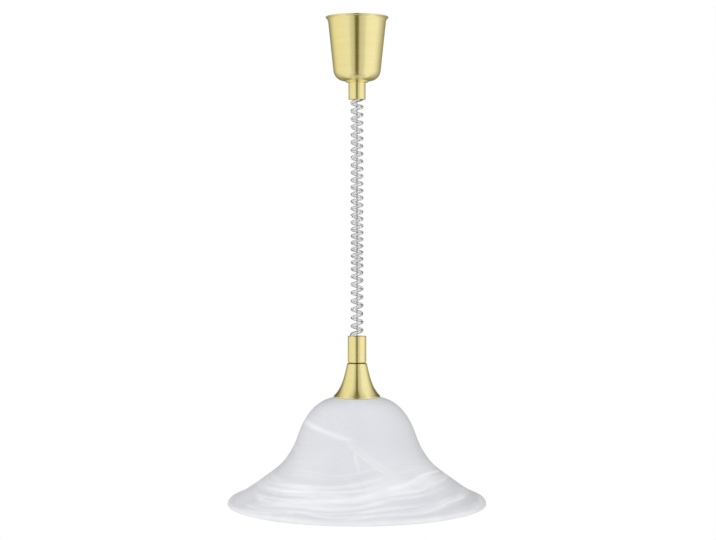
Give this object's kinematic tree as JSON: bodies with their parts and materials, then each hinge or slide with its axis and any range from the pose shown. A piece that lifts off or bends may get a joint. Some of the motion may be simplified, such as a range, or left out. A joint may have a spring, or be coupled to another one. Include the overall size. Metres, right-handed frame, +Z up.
{
  "type": "rise-and-fall pendant lamp",
  "caption": "Pendant lamp with a brass ceiling cup, a curly cord over a steel rope on a spring reel, a brass grip and cone, and a flared swirled-glass bell shade.",
  "frame": {"origin": "middle of the eye that hangs on the ceiling hook, on the lamp's axis, 24 mm below the ceiling", "axes": "+Z up along the lamp's axis, +Y along the hook eye away from the viewer, +X to the viewer's right"},
  "size_m": [0.4, 0.3998, 0.7528],
  "materials": {
    "satin_brass": "satin, turned and lacquered",
    "dark_brass": "aged, turned",
    "grey_cord": "satin, slightly translucent",
    "swirled_glass": "gloss, opal white with swirls",
    "zinc_steel": "zinc plated",
    "black_plastic": "moulded",
    "white_plastic": "moulded",
    "white_ceramic": "glazed",
    "grey_rubber": "moulded",
    "brown_insulation": "extruded",
    "blue_insulation": "extruded",
    "green_insulation": "extruded"
  },
  "bodies": {
    "suspension": {"hanger_plate": "zinc_steel", "hanger_bolt": "zinc_steel", "hanger_nut": "zinc_steel", "reel_housing_front": "white_plastic", "reel_housing_back": "white_plastic", "housing_screws": "zinc_steel", "reel_axle": "zinc_steel", "axle_clips": "zinc_steel", "outlet_nozzle": "white_plastic", "nozzle_screws": "zinc_steel", "rope_guide": "zinc_steel", "rope_in_reel": "zinc_steel", "cord_lead": "grey_cord", "cord_clamp": "white_plastic", "clamp_screws": "zinc_steel", "terminal_block": "white_plastic", "terminal_screws": "zinc_steel", "live_wire": "brown_insulation", "neutral_wire": "blue_insulation", "earth_wire": "green_insulation"},
    "canopy": {"ceiling_cup": "satin_brass", "flange_ring": "satin_brass", "outlet_collar": "satin_brass", "collar_locknut": "satin_brass", "collar_set_screw": "satin_brass"},
    "hanging_cord": {"steel_rope": "zinc_steel", "spiral_cord": "grey_cord"},
    "pendant": {"grip_tube": "satin_brass", "tube_cap": "black_plastic", "rope_ferrule": "zinc_steel", "cord_tail": "grey_cord", "carrier_nipple": "zinc_steel", "nipple_nuts": "zinc_steel", "groove_ring": "dark_brass", "cone_cover": "satin_brass", "cone_gasket": "grey_rubber", "glass_shade": "swirled_glass", "shade_grommet": "grey_rubber", "clamp_washer": "zinc_steel", "lampholder_cap": "black_plastic", "lampholder_shell": "black_plastic", "lampholder_insert": "white_ceramic", "screw_shell": "satin_brass", "centre_contact": "satin_brass"},
    "drum": {"rope_drum": "white_plastic", "rope_winding": "zinc_steel", "clock_spring": "zinc_steel"}
  },
  "joints": [
    {"name": "canopy_slide", "type": "slide", "parent": "suspension", "child": "canopy", "axis": [0, 0, 1], "range_m": [-0.35, 0]},
    {"name": "cord_swing", "type": "hinge", "parent": "suspension", "child": "hanging_cord", "pos_m": [0, 0, -0.0945], "axis": [0, 1, 0], "range_deg": [-12, 12]},
    {"name": "pendant_slide", "type": "slide", "parent": "hanging_cord", "child": "pendant", "axis": [0, 0, -1], "range_m": [0, 0.75], "deforming": ["spiral_cord", "steel_rope"]},
    {"name": "drum_turn", "type": "hinge", "parent": "suspension", "child": "drum", "pos_m": [0.013, 0, -0.037], "axis": [0, -1, 0], "range_deg": [0, 3310]}
  ],
  "couplings": [
    {"joint": "drum_turn", "follows": "pendant_slide", "rad_per_m": 76.923}
  ]
}
